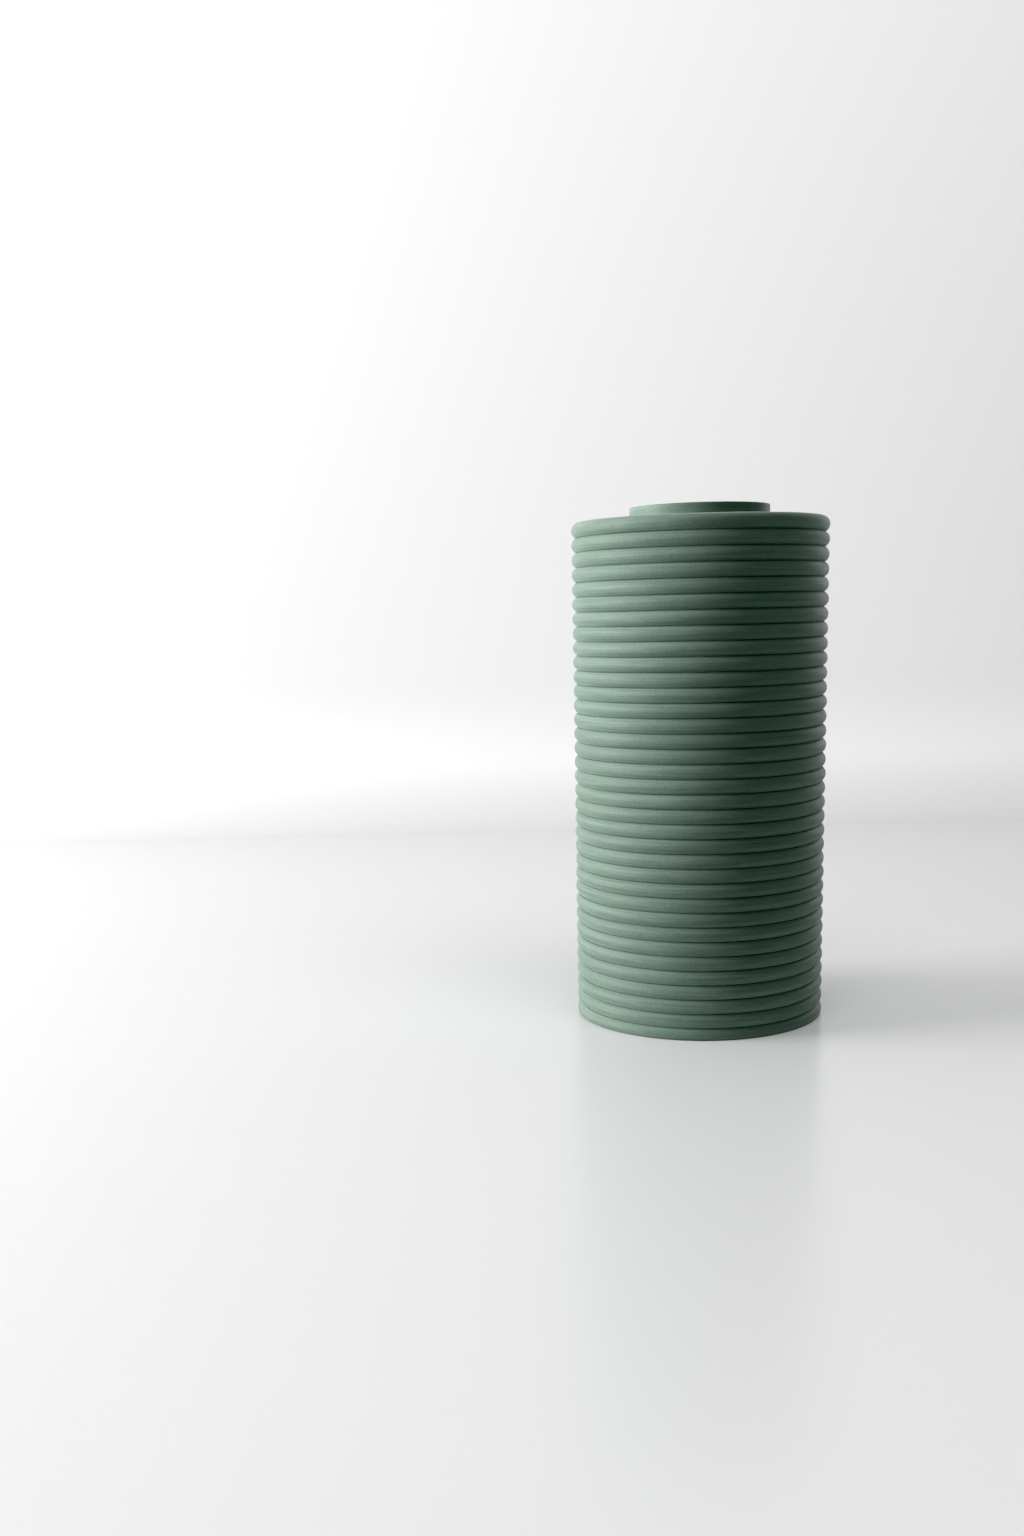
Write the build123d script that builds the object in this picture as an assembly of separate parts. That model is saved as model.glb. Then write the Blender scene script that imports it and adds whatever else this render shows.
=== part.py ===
from build123d import *
import os
from math import sqrt

# A ribbed stoneware vase, built the way clay is built up by hand: a foot slab, a stack of
# closed coils, a shoulder slab with a round hole, a neck collar let into that hole, and a
# glaze lining.  Every outer rim is the same rounded bead, so the grooves between the rims
# are the luted joints.  Millimetres, +Z up, origin at the centre of the foot's underside.

# Driving dimensions
OVERALL_HEIGHT = 200.0
BODY_DIAMETER = 99.4          # across the crowns of the rims
COIL_COUNT = 33
RIM_RADIUS = 3.05             # of the rounded bead, in section
FOOT_THICKNESS = 4.6
WALL_BORE_DIAMETER = 84.0     # the smoothed inside of the coils
NECK_HEIGHT = 5.0             # how far the collar stands above the shoulder
NECK_DIAMETER = 54.0
NECK_BORE_DIAMETER = 45.0
COLLAR_LEDGE = 2.0            # width of the step on which the collar sits
LIP_ROUND = 0.4               # softening of the collar's two upper edges
GLAZE_THICKNESS = 0.4
GLAZE_POOL_RADIUS = 2.0       # glaze gathered in the corner between floor and wall
GLAZE_STOP = 1.0              # bare band left around the neck's bore

# Worked out from them
BODY_RADIUS = BODY_DIAMETER / 2
WALL_RADIUS = WALL_BORE_DIAMETER / 2
NECK_RADIUS = NECK_DIAMETER / 2
BORE_RADIUS = NECK_BORE_DIAMETER / 2
SPIGOT_RADIUS = NECK_RADIUS - COLLAR_LEDGE
SHOULDER_TOP = OVERALL_HEIGHT - NECK_HEIGHT
COIL_PITCH = (SHOULDER_TOP - FOOT_THICKNESS - RIM_RADIUS) / (COIL_COUNT + 0.5)
SHOULDER_THICKNESS = COIL_PITCH / 2 + RIM_RADIUS
SHOULDER_UNDERSIDE = SHOULDER_TOP - SHOULDER_THICKNESS
BEAD_RADIUS = BODY_RADIUS - RIM_RADIUS    # of the circle on which the bead's centre runs


def rim_point(offset):
    """Radius of the bead's surface at a height above or below its crown, and that height."""
    return (BEAD_RADIUS + sqrt(RIM_RADIUS**2 - offset**2), offset)


def rim_arc(lower, upper):
    """The rounded bead between two heights, measured from its crown."""
    return ThreePointArc(rim_point(lower), (BODY_RADIUS, 0), rim_point(upper))


def turned(section, height):
    """Solid of revolution of a closed section in radius and height, lifted into place."""
    return Pos(0, 0, height) * revolve(make_face(Plane.XZ * section), Axis.Z)


def foot_slab():
    """Disc whose edge is the lowest bead, cut off flat where the vase stands."""
    top = COIL_PITCH / 2
    underside = top - FOOT_THICKNESS
    section = Polyline(rim_point(top), (0, top), (0, underside), rim_point(underside))
    return turned(section + rim_arc(underside, top), -underside)


def coil_ring(index):
    """Closed coil: rounded outside, smoothed flat inside, flat luting bands above and below."""
    half = COIL_PITCH / 2
    inside = Polyline(rim_point(half), (WALL_RADIUS, half), (WALL_RADIUS, -half), rim_point(-half))
    crown_height = FOOT_THICKNESS + (index + 0.5) * COIL_PITCH
    return turned(inside + rim_arc(-half, half), crown_height)


def shoulder_slab():
    """Flat annular slab whose rim is the top bead, with a round hole for the collar's spigot."""
    lower = -COIL_PITCH / 2
    upper = RIM_RADIUS
    section = Polyline(
        rim_point(upper),
        (SPIGOT_RADIUS, upper),
        (SPIGOT_RADIUS, lower),
        rim_point(lower),
    )
    return turned(section + rim_arc(lower, upper), SHOULDER_TOP - RIM_RADIUS)


def neck_collar():
    """Straight ring that rests on the slab and reaches down through its hole as a spigot."""
    section = Polyline(
        (NECK_RADIUS, 0),
        (SPIGOT_RADIUS, 0),
        (SPIGOT_RADIUS, -SHOULDER_THICKNESS),
        (BORE_RADIUS, -SHOULDER_THICKNESS),
        (BORE_RADIUS, NECK_HEIGHT),
        (NECK_RADIUS, NECK_HEIGHT),
        close=True,
    )
    collar = turned(section, SHOULDER_TOP)
    lip_edges = collar.edges().group_by(Axis.Z)[-1]
    return fillet(lip_edges, LIP_ROUND)


def liner_glaze():
    """Thin coat over the floor, up the wall and across the underside of the shoulder."""
    floor = FOOT_THICKNESS
    ceiling = SHOULDER_UNDERSIDE
    skin_radius = WALL_RADIUS - GLAZE_THICKNESS
    stop_radius = BORE_RADIUS + GLAZE_STOP
    skin_floor = floor + GLAZE_THICKNESS
    skin_ceiling = ceiling - GLAZE_THICKNESS
    pool = GLAZE_POOL_RADIUS
    outside = Polyline(
        (0, skin_floor),
        (0, floor),
        (WALL_RADIUS, floor),
        (WALL_RADIUS, ceiling),
        (stop_radius, ceiling),
        (stop_radius, skin_ceiling),
        (skin_radius, skin_ceiling),
        (skin_radius, skin_floor + pool),
    )
    pool_arc = RadiusArc((skin_radius, skin_floor + pool), (skin_radius - pool, skin_floor), pool)
    inside = Line((skin_radius - pool, skin_floor), (0, skin_floor))
    return turned(outside + pool_arc + inside, 0)


def all_parts():
    """Every piece of the vase, by the name of its node."""
    parts = {"foot_slab": foot_slab()}
    for index in range(COIL_COUNT):
        parts[f"coil_ring_{index + 1:02d}"] = coil_ring(index)
    parts["shoulder_slab"] = shoulder_slab()
    parts["neck_collar"] = neck_collar()
    parts["liner_glaze"] = liner_glaze()
    return parts


os.makedirs("parts", exist_ok=True)
for name, solid in all_parts().items():
    export_step(solid, f"parts/{name}.step")
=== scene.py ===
import math
import random

import bmesh
import bpy
from mathutils import Matrix, Vector, noise


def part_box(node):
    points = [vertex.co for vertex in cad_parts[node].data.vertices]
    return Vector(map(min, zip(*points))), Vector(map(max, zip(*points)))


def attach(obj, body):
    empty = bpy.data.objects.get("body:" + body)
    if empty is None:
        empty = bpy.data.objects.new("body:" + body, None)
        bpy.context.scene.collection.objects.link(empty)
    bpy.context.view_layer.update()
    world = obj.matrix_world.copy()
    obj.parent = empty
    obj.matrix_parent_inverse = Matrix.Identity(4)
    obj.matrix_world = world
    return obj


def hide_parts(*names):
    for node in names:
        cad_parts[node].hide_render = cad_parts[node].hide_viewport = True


# A ribbed stoneware vase in matte green, hand built from coils: every clay piece is turned here
# as a finely divided surface with the small unevenness of handwork, and gets its fired surface
# from node materials.  Metres, +Z up, origin under the middle of the foot.

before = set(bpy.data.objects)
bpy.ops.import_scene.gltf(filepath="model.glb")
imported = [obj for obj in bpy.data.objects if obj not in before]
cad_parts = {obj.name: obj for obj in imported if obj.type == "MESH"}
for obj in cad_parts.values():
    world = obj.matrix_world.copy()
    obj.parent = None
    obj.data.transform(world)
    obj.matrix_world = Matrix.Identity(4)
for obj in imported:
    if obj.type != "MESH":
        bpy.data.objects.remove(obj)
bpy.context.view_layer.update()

MM = 0.001

# Sizes read from the frame
COILS = sorted(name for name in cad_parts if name.startswith("coil_ring_"))
FIRST_COIL_LOW, FIRST_COIL_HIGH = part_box(COILS[0])
FOOT_LOW, FOOT_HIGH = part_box("foot_slab")
SHOULDER_LOW, SHOULDER_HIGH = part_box("shoulder_slab")
COLLAR_LOW, COLLAR_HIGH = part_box("neck_collar")
LINER_LOW, LINER_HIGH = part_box("liner_glaze")
PITCH = FIRST_COIL_HIGH.z - FIRST_COIL_LOW.z
FOOT_TOP = FOOT_HIGH.z
SHOULDER_TOP = SHOULDER_HIGH.z
SHOULDER_UNDERSIDE = SHOULDER_LOW.z
RIM_RADIUS = SHOULDER_TOP - SHOULDER_UNDERSIDE - PITCH / 2
BODY_RADIUS = SHOULDER_HIGH.x
BEAD_RADIUS = BODY_RADIUS - RIM_RADIUS
GROOVE_RADIUS = BEAD_RADIUS + math.sqrt(RIM_RADIUS**2 - (PITCH / 2) ** 2)
WALL_RADIUS = LINER_HIGH.x
NECK_RADIUS = COLLAR_HIGH.x
LIP_HEIGHT = COLLAR_HIGH.z

# Sizes that the frame's boxes don't give
BORE_RADIUS = 22.5 * MM
SPIGOT_RADIUS = 25.0 * MM
GLAZE = 0.4 * MM
GLAZE_STOP = 23.5 * MM
GLAZE_POOL = 2.0 * MM
SLIP_FILLET = 0.06 * MM       # how far slip fills the bottom of each groove
SLIP_BLEND = 0.2 * MM         # how softly it runs into the flanks
LIP_ROUND = 0.3 * MM
NECK_FILLET = 0.2 * MM
FOOT_EDGE = 0.4 * MM
BARE_FOOT_RADIUS = 46.5 * MM  # the underside is wiped clean of glaze up to here
GLAZE_LINE = 0.8 * MM         # width of the edge between bare clay and glaze

# Unevenness of handwork
SLOW_WOBBLE = 0.10 * MM       # out of round, over the whole vase
QUICK_WOBBLE = 0.05 * MM      # out of round, from coil to coil
LIFT_WOBBLE = 0.06 * MM       # up and down
COIL_THINNEST, COIL_THICKEST = -0.07 * MM, 0.05 * MM
SHOULDER_RIPPLE = 0.03 * MM

AROUND = 256                  # divisions around the axis
LINING_AROUND = 160

# The stage round the vase
SIDE, FRONT, BACK, TOP, BEND = 3.0, -2.0, 0.62, 2.2, 0.10
TABLE_LEFT, TABLE_FRONT = -0.16, -0.10  # the floor beyond these throws no light on the vase
BEND_STEPS = 12

STAGE = bpy.data.collections.new("stage")  # lit by lights of its own, besides the window
VASE = bpy.data.collections.new("vase")


# ---------------------------------------------------------------- hand-made shapes


def smooth_step(low, high, value):
    """0 below low, 1 above high, with a soft rise between them."""
    t = min(max((value - low) / (high - low), 0.0), 1.0)
    return t * t * (3 - 2 * t)


def soft_max(a, b, width):
    """The larger of a and b, rounded where they cross."""
    t = min(max(0.5 + 0.5 * (a - b) / width, 0.0), 1.0)
    return b + (a - b) * t + width * t * (1 - t)


def handmade(radius, angle, height):
    """A point of the perfect vase, moved by a fraction of a millimetre as handwork leaves it.

    The field is one for the whole vase, so pieces that meet still meet.  It fades to nothing at
    the foot, which stands flat, and on the axis.
    """
    around = Vector((math.cos(angle), math.sin(angle), 0))
    rise = smooth_step(0, 8 * MM, height)
    reach = smooth_step(0, 20 * MM, radius)
    slow = noise.noise(around * 0.8 + Vector((3.1, 0.4, height / (70 * MM))))
    quick = noise.noise(around * 2.6 + Vector((7.7, 5.2, height / (9 * MM))))
    lift = noise.noise(around * 1.7 + Vector((1.9, 8.3, height / (12 * MM))))
    fall = 1 - smooth_step(SHOULDER_TOP - PITCH, SHOULDER_TOP, height)
    radius += reach * (SLOW_WOBBLE * slow + QUICK_WOBBLE * quick - SLOW_WOBBLE)
    height += reach * rise * fall * LIFT_WOBBLE * lift
    return Vector((radius * around.x, radius * around.y, height))


def turned(name, loop, node, material, divisions=AROUND):
    """A piece of the vase: a closed loop of (radius, height, crease, bare) turned about the axis.

    crease is 1 in the bottom of a groove and 0 on a crown; bare is 1 where there is no glaze.
    Both go into attributes that the material reads.
    """
    work = bmesh.new()
    crease_layer = work.verts.layers.float.new("crease")
    bare_layer = work.verts.layers.float.new("bare")

    def vertex(point, angle):
        radius, height, crease, bare = point
        v = work.verts.new(handmade(radius, angle, height))
        v[crease_layer] = crease
        v[bare_layer] = bare
        return v

    rows = []
    for point in loop:
        if point[0] == 0:
            rows.append([vertex(point, 0)] * divisions)
        else:
            rows.append([vertex(point, 2 * math.pi * i / divisions) for i in range(divisions)])
    for k, row in enumerate(rows):
        following = rows[(k + 1) % len(rows)]
        for i in range(divisions):
            j = (i + 1) % divisions
            corners = []
            for v in (row[i], row[j], following[j], following[i]):
                if v not in corners:
                    corners.append(v)
            if len(corners) > 2:
                work.faces.new(corners)
    bmesh.ops.recalc_face_normals(work, faces=work.faces)
    mesh = bpy.data.meshes.new(name)
    work.to_mesh(mesh)
    work.free()
    mesh.shade_smooth()
    mesh.set_sharp_from_angle(angle=math.radians(40))
    piece = bpy.data.objects.new(name, mesh)
    bpy.context.scene.collection.objects.link(piece)
    VASE.objects.link(piece)
    mesh.materials.append(material)
    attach(piece, "root")
    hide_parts(node)
    return piece


def bead(crown, lower, upper, swell=0.0, count=22):
    """The rounded rim from lower to upper, measured from its crown's height, finest at its ends."""
    first = math.asin(max(lower / RIM_RADIUS, -1))
    last = math.asin(min(upper / RIM_RADIUS, 1))
    floor = GROOVE_RADIUS + SLIP_FILLET
    meets_below = lower < -0.99 * PITCH / 2
    meets_above = upper < 1.01 * PITCH / 2
    points = []
    for i in range(count + 1):
        turn = first + (last - first) * (0.5 - 0.5 * math.cos(math.pi * i / count))
        offset = RIM_RADIUS * math.sin(turn)
        radius = BEAD_RADIUS + RIM_RADIUS * math.cos(turn)
        share = offset / (PITCH / 2)
        if abs(share) <= 1:
            radius += swell * (1 - share * share) ** 2
        in_groove = (meets_below and offset < 0) or (meets_above and offset > 0)
        if in_groove:
            radius = soft_max(radius, floor, SLIP_BLEND)
        depth = min(max((BODY_RADIUS - radius) / (BODY_RADIUS - GROOVE_RADIUS), 0), 1)
        points.append((radius, crown + offset, depth if in_groove else 0.0, 0.0))
    return points


def stretch(start, end, count, bare=0.0):
    """Evenly spaced points on a straight stretch between two (radius, height) ends, ends left out."""
    points = []
    for i in range(1, count):
        t = i / count
        points.append((start[0] + (end[0] - start[0]) * t, start[1] + (end[1] - start[1]) * t, 0.0, bare))
    return points


def corner(centre, size, start_deg, end_deg, count=6):
    """A rounded corner in section, from one direction to another about its centre."""
    points = []
    for i in range(count + 1):
        turn = math.radians(start_deg + (end_deg - start_deg) * i / count)
        radius = centre[0] + size * math.cos(turn)
        points.append((radius, centre[1] + size * math.sin(turn), 0.0, 0.0))
    return points


def make_foot(material):
    """The foot slab, with a small undercut where it meets the table and a bare underside."""
    crown = FOOT_TOP - PITCH / 2
    rim = bead(crown, -crown + FOOT_EDGE, PITCH / 2)
    edge_radius = rim[0][0] - 1.5 * FOOT_EDGE
    loop = [(0, 0, 0.0, 1.0)]
    loop += stretch((0, 0), (BARE_FOOT_RADIUS, 0), 20, bare=1.0)
    loop += [(BARE_FOOT_RADIUS, 0, 0.0, 1.0), (BARE_FOOT_RADIUS + GLAZE_LINE, 0, 0.0, 0.0)]
    # These two edge points carry a crease of 1, so the material paints a dark contact shadow along the
    # foot's edge
    loop += [(edge_radius, 0, 1.0, 0.0), (rim[0][0] - 0.7 * FOOT_EDGE, 0.7 * FOOT_EDGE, 1.0, 0.0)]
    loop += rim
    loop += [(WALL_RADIUS, FOOT_TOP, 0.0, 1.0), (0, FOOT_TOP, 0.0, 1.0)]
    return turned("fired_foot", loop, "foot_slab", material)


def make_coils(material):
    """The stack of coils, each a little thicker or thinner than the next."""
    throws = random.Random(35)
    for node in COILS:
        low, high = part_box(node)
        swell = throws.uniform(COIL_THINNEST, COIL_THICKEST)
        loop = bead((low.z + high.z) / 2, -PITCH / 2, PITCH / 2, swell)
        loop += [(WALL_RADIUS, high.z, 0.0, 1.0), (WALL_RADIUS, low.z, 0.0, 1.0)]
        turned(node.replace("coil_ring", "fired_coil"), loop, node, material)


def make_shoulder(material):
    """The shoulder slab: a full round rim and a flat top with faint turning ripples."""
    crown = SHOULDER_TOP - RIM_RADIUS
    loop = bead(crown, -PITCH / 2, RIM_RADIUS, count=26)
    flat = stretch((BEAD_RADIUS, SHOULDER_TOP), (SPIGOT_RADIUS, SHOULDER_TOP), 40)
    for radius, height, crease, bare in flat:
        ripple = noise.noise(Vector((radius / (1.1 * MM), 4.2, 0.7)))
        loop.append((radius, height - SHOULDER_RIPPLE * (1 + ripple), crease, bare))
    loop += [(SPIGOT_RADIUS, SHOULDER_TOP, 0.0, 0.0), (SPIGOT_RADIUS, SHOULDER_UNDERSIDE, 0.0, 1.0)]
    return turned("fired_shoulder", loop, "shoulder_slab", material)


def make_collar(material):
    """The neck, softened at its lip and where it meets the shoulder, and its spigot."""
    top = LIP_HEIGHT
    seat = SHOULDER_TOP - 0.05 * MM
    loop = corner((NECK_RADIUS + NECK_FILLET, seat + NECK_FILLET), NECK_FILLET, 270, 180)
    loop += stretch((NECK_RADIUS, seat + NECK_FILLET), (NECK_RADIUS, top - LIP_ROUND), 8)
    loop += corner((NECK_RADIUS - LIP_ROUND, top - LIP_ROUND), LIP_ROUND, 0, 90)
    loop += stretch((NECK_RADIUS - LIP_ROUND, top), (BORE_RADIUS + LIP_ROUND, top), 5)
    loop += corner((BORE_RADIUS + LIP_ROUND, top - LIP_ROUND), LIP_ROUND, 90, 180)
    loop += stretch((BORE_RADIUS, top - LIP_ROUND), (BORE_RADIUS, SHOULDER_UNDERSIDE), 10)
    loop += [(BORE_RADIUS, SHOULDER_UNDERSIDE, 0.0, 0.0), (SPIGOT_RADIUS, SHOULDER_UNDERSIDE, 0.0, 1.0)]
    loop += [(SPIGOT_RADIUS, seat, 0.0, 1.0)]
    return turned("fired_collar", loop, "neck_collar", material)


def make_lining(material):
    """The coat inside: floor, wall and the underside of the shoulder, pooled at the floor."""
    skin = WALL_RADIUS - GLAZE
    floor = FOOT_TOP
    ceiling = SHOULDER_UNDERSIDE
    loop = [(0, floor, 0.0, 0.0), (WALL_RADIUS, floor, 0.0, 0.0), (WALL_RADIUS, ceiling, 0.0, 0.0)]
    loop += [(GLAZE_STOP, ceiling, 0.0, 0.0), (GLAZE_STOP, ceiling - GLAZE, 0.0, 0.0)]
    loop += stretch((GLAZE_STOP, ceiling - GLAZE), (skin, ceiling - GLAZE), 6)
    loop += [(skin, ceiling - GLAZE, 0.0, 0.0)]
    loop += stretch((skin, ceiling - GLAZE), (skin, floor + GLAZE + GLAZE_POOL), 60)
    loop += corner((skin - GLAZE_POOL, floor + GLAZE + GLAZE_POOL), GLAZE_POOL, 0, -90)
    loop += stretch((skin - GLAZE_POOL, floor + GLAZE), (0, floor + GLAZE), 24)
    loop += [(0, floor + GLAZE, 0.0, 0.0)]
    return turned("fired_lining", loop, "liner_glaze", material, divisions=LINING_AROUND)


# ---------------------------------------------------------------- materials


class Graph:
    """One material and short calls for its nodes."""

    def __init__(self, name):
        self.material = bpy.data.materials.new(name)
        self.material.use_nodes = True
        self.tree = self.material.node_tree
        self.shader = self.tree.nodes["Principled BSDF"]
        self.place = self.tree.nodes.new("ShaderNodeTexCoord").outputs["Object"]

    def link(self, source, socket):
        """Feed a node's output, or a plain value, into a socket."""
        if hasattr(source, "default_value") or hasattr(source, "links"):
            self.tree.links.new(source, socket)
        else:
            socket.default_value = source

    def math(self, operation, a, b=0.0):
        node = self.tree.nodes.new("ShaderNodeMath")
        node.operation = operation
        self.link(a, node.inputs[0])
        self.link(b, node.inputs[1])
        return node.outputs[0]

    def noise(self, scale, detail=2.0, roughness=0.5, offset=(0, 0, 0)):
        """Noise between about 0 and 1; scale is in features per metre along X, Y and Z."""
        mapping = self.tree.nodes.new("ShaderNodeMapping")
        mapping.inputs["Scale"].default_value = scale
        mapping.inputs["Location"].default_value = offset
        self.tree.links.new(self.place, mapping.inputs["Vector"])
        node = self.tree.nodes.new("ShaderNodeTexNoise")
        node.inputs["Scale"].default_value = 1.0
        node.inputs["Detail"].default_value = detail
        node.inputs["Roughness"].default_value = roughness
        self.tree.links.new(mapping.outputs["Vector"], node.inputs["Vector"])
        return node.outputs["Fac"]

    def height(self):
        """Height above the foot, in metres."""
        node = self.tree.nodes.new("ShaderNodeSeparateXYZ")
        self.tree.links.new(self.place, node.inputs["Vector"])
        return node.outputs["Z"]

    def specks(self, scale, size):
        """1 in small round specks and 0 elsewhere."""
        node = self.tree.nodes.new("ShaderNodeTexVoronoi")
        node.inputs["Scale"].default_value = scale
        self.tree.links.new(self.place, node.inputs["Vector"])
        return self.remap(node.outputs["Distance"], size * 0.6, size, 1.0, 0.0)

    def remap(self, value, low, high, to_low, to_high):
        node = self.tree.nodes.new("ShaderNodeMapRange")
        self.link(value, node.inputs["Value"])
        node.inputs["From Min"].default_value = low
        node.inputs["From Max"].default_value = high
        node.inputs["To Min"].default_value = to_low
        node.inputs["To Max"].default_value = to_high
        return node.outputs["Result"]

    def attribute(self, name):
        node = self.tree.nodes.new("ShaderNodeAttribute")
        node.attribute_name = name
        return node.outputs["Fac"]

    def mix(self, factor, a, b, blend="MIX"):
        node = self.tree.nodes.new("ShaderNodeMix")
        node.data_type = "RGBA"
        node.blend_type = blend
        self.link(factor, node.inputs["Factor"])
        colour_a, colour_b = [socket for socket in node.inputs if socket.type == "RGBA"]
        self.link(a, colour_a)
        self.link(b, colour_b)
        return next(socket for socket in node.outputs if socket.type == "RGBA")

    def bump(self, height, distance, strength=1.0, normal=None):
        node = self.tree.nodes.new("ShaderNodeBump")
        node.inputs["Strength"].default_value = strength
        node.inputs["Distance"].default_value = distance
        self.tree.links.new(height, node.inputs["Height"])
        if normal is not None:
            self.tree.links.new(normal, node.inputs["Normal"])
        return node.outputs["Normal"]


# Colours, linear
GREEN = (0.108, 0.159, 0.127, 1)
GREEN_COOL = (0.109, 0.158, 0.130, 1)
# Dark green for the real dark specks, and for painted shade in the grooves and at the foot's edge
GREEN_SPECK_AND_GROOVE_SHADE = (0.038, 0.076, 0.054, 1)
GREEN_WORN = (0.140, 0.186, 0.154, 1)
CLAY = (0.40, 0.345, 0.285, 1)
CLAY_DARK = (0.20, 0.155, 0.120, 1)
LINING = (0.30, 0.38, 0.33, 1)
LINING_DARK = (0.24, 0.33, 0.28, 1)
LINING_RUN = (0.36, 0.43, 0.38, 1)
IRON_SPECK = (0.12, 0.13, 0.10, 1)
FLOOR_GREY = (0.35, 0.35, 0.353, 1)
WALL_GREY = (0.48, 0.48, 0.485, 1)


def stoneware():
    """Matte green fired surface, with bare clay where the bare attribute says so.

    The grooves and the foot's edge get painted shade, the tone falls toward the foot as painted fall-off
    of light, and painted shading darkens the crowns and lightens the flanks.
    """
    g = Graph("matte_green")
    mottle = g.noise((24, 24, 24), 3.0, 0.55)
    clouds = g.noise((70, 70, 110), 3.0, 0.6, (4, 1, 9))
    streak = g.noise((28, 28, 1500), 3.0, 0.65)
    band = g.noise((9, 9, 420), 2.0, 0.5, (2, 7, 5))
    grain = g.noise((1900, 1900, 1900), 2.0, 0.6)
    crease = g.attribute("crease")
    colour = g.mix(g.remap(mottle, 0.35, 0.65, 0, 1), GREEN, GREEN_COOL)
    worn = g.math("MULTIPLY", g.remap(clouds, 0.45, 0.7, 0, 0.7), g.remap(crease, 0.0, 0.35, 1.0, 0.0))
    colour = g.mix(worn, colour, GREEN_WORN)
    # Painted shade: the green turns dark in the bottom of each groove, where shade falls
    colour = g.mix(g.remap(crease, 0.7, 0.93, 0.0, 0.95), colour, GREEN_SPECK_AND_GROOVE_SHADE)
    tone = g.math("MULTIPLY", g.remap(streak, 0.3, 0.7, 0.82, 1.18), g.remap(band, 0.3, 0.7, 0.95, 1.05))
    tone = g.math("MULTIPLY", tone, g.remap(grain, 0.3, 0.7, 0.84, 1.16))
    # Painted light: the tone is raised near the lip and lowered near the foot, as the light falls off
    # down the vase
    painted_falloff_toward_foot = g.remap(g.height(), 0, LIP_HEIGHT, 0.86, 1.06)
    tone = g.math("MULTIPLY", tone, painted_falloff_toward_foot)
    # Painted shading: each rib's crown is darkened and its flanks lightened, so the ribs look evenly lit
    painted_rib_shading = g.remap(crease, 0.0, 0.5, 0.93, 1.13)
    tone = g.math("MULTIPLY", tone, painted_rib_shading)
    # tone mixes real streaks, bands and grain with the painted fall-off and the painted rib shading
    shade = g.tree.nodes.new("ShaderNodeCombineColor")
    for socket in shade.inputs:
        g.tree.links.new(tone, socket)
    colour = g.mix(1.0, colour, shade.outputs[0], "MULTIPLY")
    colour = g.mix(g.math("MULTIPLY", g.specks(420, 0.16), 0.25), colour, GREEN_SPECK_AND_GROOVE_SHADE)

    grog = g.noise((900, 900, 900), 3.0, 0.7, (5, 5, 5))
    clay = g.mix(g.remap(grog, 0.35, 0.68, 0.0, 1.0), CLAY_DARK, CLAY)
    clay = g.mix(g.specks(700, 0.2), clay, CLAY_DARK)
    ragged_edge = g.math("ADD", g.attribute("bare"), g.remap(clouds, 0.3, 0.7, -0.3, 0.3))
    wiped = g.remap(ragged_edge, 0.4, 0.6, 0, 1)
    g.link(g.mix(wiped, colour, clay), g.shader.inputs["Base Color"])

    rough = g.math("ADD", g.remap(clouds, 0.3, 0.7, 0.50, 0.60), g.remap(grain, 0.3, 0.7, -0.04, 0.04))
    rough = g.math("ADD", rough, g.math("MULTIPLY", wiped, 0.2))
    g.link(rough, g.shader.inputs["Roughness"])
    g.shader.inputs["Specular IOR Level"].default_value = 0.15
    g.shader.inputs["Sheen Weight"].default_value = 0.2
    g.shader.inputs["Sheen Roughness"].default_value = 0.4
    normal = g.bump(streak, 0.09 * MM, 0.9)
    normal = g.bump(grain, 0.05 * MM, 0.8, normal)
    g.link(normal, g.shader.inputs["Normal"])
    return g.material


def glaze():
    """Glossy grey-green lining with slow tone changes and a faint orange-peel surface."""
    g = Graph("inner_glaze")
    clouds = g.noise((35, 35, 25), 3.0, 0.55)
    runs = g.noise((160, 160, 12), 2.0, 0.5, (3, 3, 3))
    peel = g.noise((420, 420, 420), 2.0, 0.5)
    colour = g.mix(g.remap(clouds, 0.35, 0.65, 0, 1), LINING, LINING_DARK)
    colour = g.mix(g.remap(runs, 0.4, 0.7, 0.0, 0.4), colour, LINING_RUN)
    colour = g.mix(g.specks(260, 0.13), colour, IRON_SPECK)
    g.link(colour, g.shader.inputs["Base Color"])
    g.link(g.remap(clouds, 0.3, 0.7, 0.12, 0.22), g.shader.inputs["Roughness"])
    g.shader.inputs["Coat Weight"].default_value = 0.4
    g.link(g.bump(peel, 0.08 * MM, 0.5), g.shader.inputs["Normal"])
    return g.material


def pale_stage(bend):
    """Satin floor that turns into a lighter, dull wall as the sheet bends up."""
    g = Graph("pale_stage")
    wall = g.remap(g.height(), 0, bend, 0, 1)
    g.link(g.mix(wall, FLOOR_GREY, WALL_GREY), g.shader.inputs["Base Color"])
    g.link(g.remap(wall, 0, 1, 0.25, 0.9), g.shader.inputs["Roughness"])
    return g.material


# ---------------------------------------------------------------- stage, lights, camera


def make_stage():
    """A pale floor that sweeps up into a pale backdrop.

    Only the backdrop and a table-sized stretch of floor throw light back onto the vase.  The rest
    of the floor is seen, but its light isn't, like the dim room round a small table.
    """
    surface = pale_stage(BEND)
    back = BACK - BEND
    sweep = [(back, 0.0)]
    for i in range(1, BEND_STEPS + 1):
        turn = math.radians(90 * i / BEND_STEPS)
        sweep.append((back + BEND * math.sin(turn), BEND - BEND * math.cos(turn)))
    sweep.append((BACK, TOP))
    stage_sheet("backdrop", -SIDE, SIDE, sweep, surface, True)
    stage_sheet("table", TABLE_LEFT, SIDE, [(TABLE_FRONT, 0.0), (back, 0.0)], surface, True)
    stage_sheet("floor_left", -SIDE, TABLE_LEFT, [(TABLE_FRONT, 0.0), (back, 0.0)], surface, False)
    stage_sheet("floor_front", -SIDE, SIDE, [(FRONT, 0.0), (TABLE_FRONT, 0.0)], surface, False)


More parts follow.
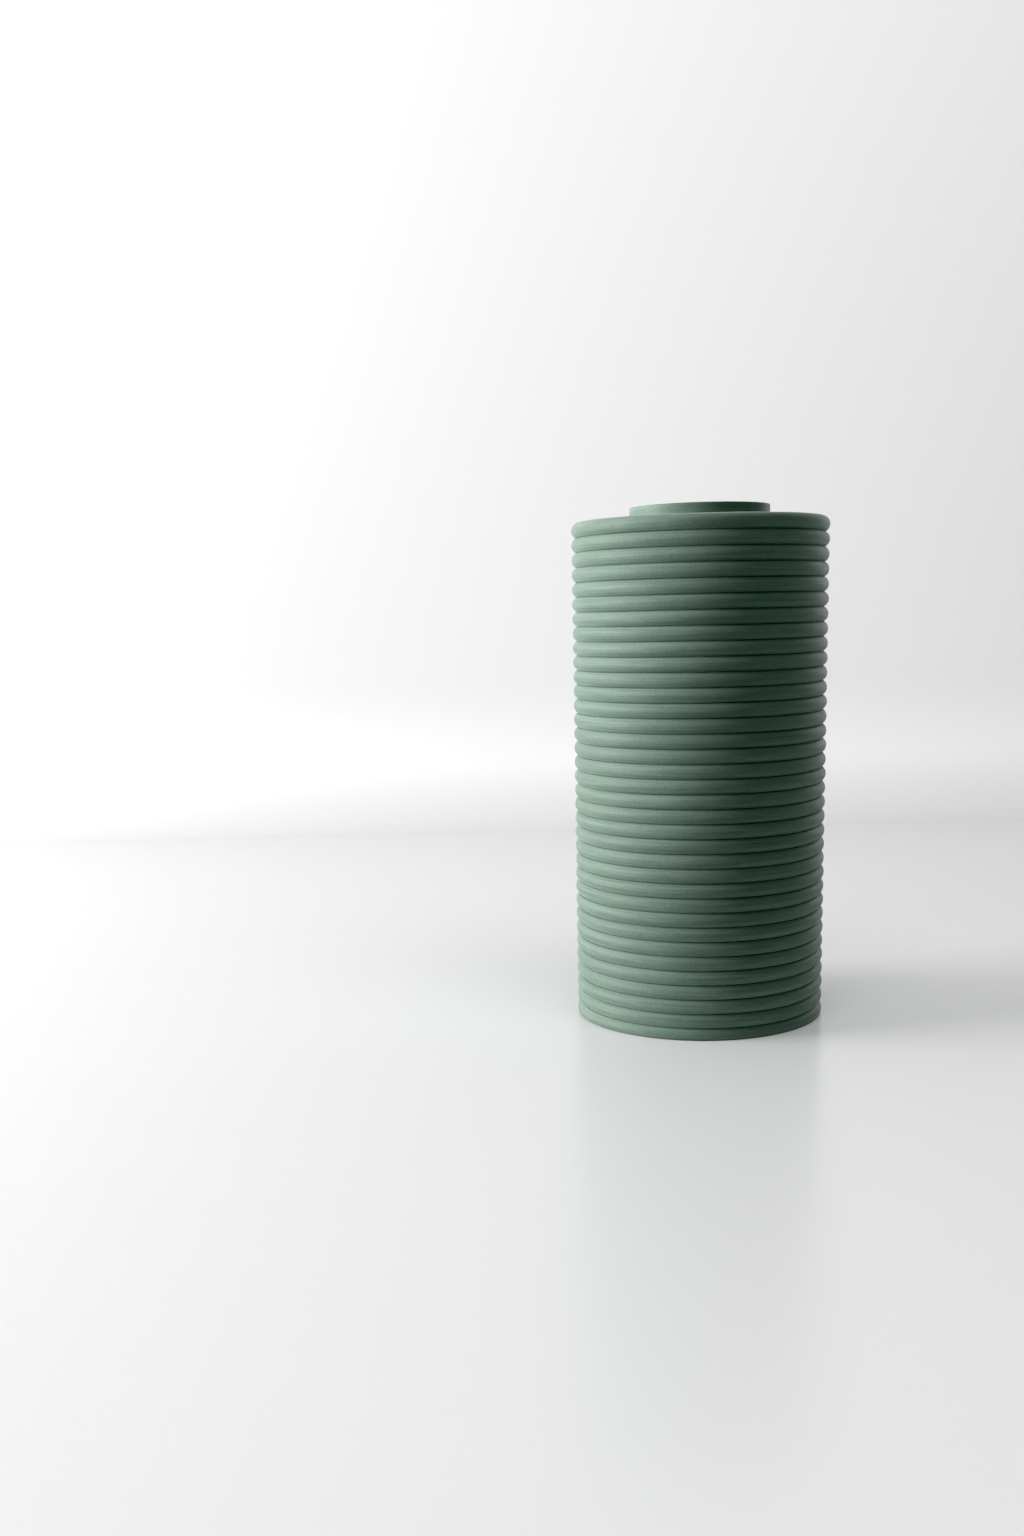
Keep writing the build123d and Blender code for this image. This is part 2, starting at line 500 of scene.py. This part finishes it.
def stage_sheet(name, left, right, profile, surface, throws_light):
    """A strip of the stage: a profile in Y and Z, stretched from left to right."""
    mesh = bpy.data.meshes.new(name)
    points = [(x, y, z) for y, z in profile for x in (left, right)]
    faces = [(2 * i, 2 * i + 1, 2 * i + 3, 2 * i + 2) for i in range(len(profile) - 1)]
    mesh.from_pydata(points, [], faces)
    mesh.shade_smooth()
    mesh.materials.append(surface)
    sheet = bpy.data.objects.new(name, mesh)
    sheet.visible_diffuse = throws_light
    sheet.visible_glossy = throws_light
    bpy.context.scene.collection.objects.link(sheet)
    STAGE.objects.link(sheet)


def area_light(name, where, target, size, power, receivers=None):
    data = bpy.data.lights.new(name, "AREA")
    data.shape = "RECTANGLE"
    data.size, data.size_y = size
    data.energy = power
    light = bpy.data.objects.new(name, data)
    light.location = where
    light.rotation_euler = (Vector(target) - Vector(where)).to_track_quat("-Z", "Y").to_euler()
    light.light_linking.receiver_collection = receivers
    bpy.context.scene.collection.objects.link(light)


def make_lights():
    """Soft daylight from the left, from the table's height up, and a dim room.

    far_side lights the vase alone and overhead the stage alone.
    """
    middle = (0, 0, 0.1)
    area_light("window_low", (-1.7, -0.12, 0.27), middle, (0.8, 0.45), 43)
    area_light("window_middle", (-1.65, -0.12, 0.75), middle, (0.8, 0.45), 13)
    area_light("window_high", (-1.4, -0.12, 1.3), middle, (0.8, 0.6), 17)
    area_light("left_back", (-1.5, 0.42, 0.5), middle, (0.5, 0.8), 11)
    area_light("ceiling", (0, 0, 1.9), middle, (1.5, 1.5), 6)
    area_light("far_side", (0.56, 0.52, 0.25), middle, (0.3, 0.6), 1.2, VASE)
    area_light("overhead", (0.1, -1.0, 2.0), (0.1, 0.35, 0.3), (2.4, 1.4), 60, STAGE)
    world = bpy.data.worlds.new("room")
    world.use_nodes = True
    background = world.node_tree.nodes["Background"]
    background.inputs["Color"].default_value = (1, 1, 1, 1)
    background.inputs["Strength"].default_value = 0.195
    bpy.context.scene.world = world
    # The slight black level deepens the green of the shaded side
    look = bpy.context.scene.view_settings
    look.view_transform = "Standard"
    look.use_curve_mapping = True
    look.curve_mapping.black_level = (0.0105, 0.004, 0.008)
    look.curve_mapping.update()


def make_camera():
    """Level with the upper ribs and looking slightly down, rolled a little clockwise."""
    data = bpy.data.cameras.new("camera")
    data.lens = 34.97
    data.sensor_width = 36
    data.shift_y = 0.1
    camera = bpy.data.objects.new("camera", data)
    pitch_down = 0.2053
    roll = 0.0241
    turn = Matrix.Rotation(math.pi / 2 - pitch_down, 4, "X") @ Matrix.Rotation(-roll, 4, "Z")
    camera.matrix_world = Matrix.Translation((-0.0762, -0.5963, 0.1623)) @ turn
    bpy.context.scene.collection.objects.link(camera)
    bpy.context.scene.camera = camera


clay = stoneware()
make_foot(clay)
make_coils(clay)
make_shoulder(clay)
make_collar(clay)
make_lining(glaze())
make_stage()
make_lights()
make_camera()
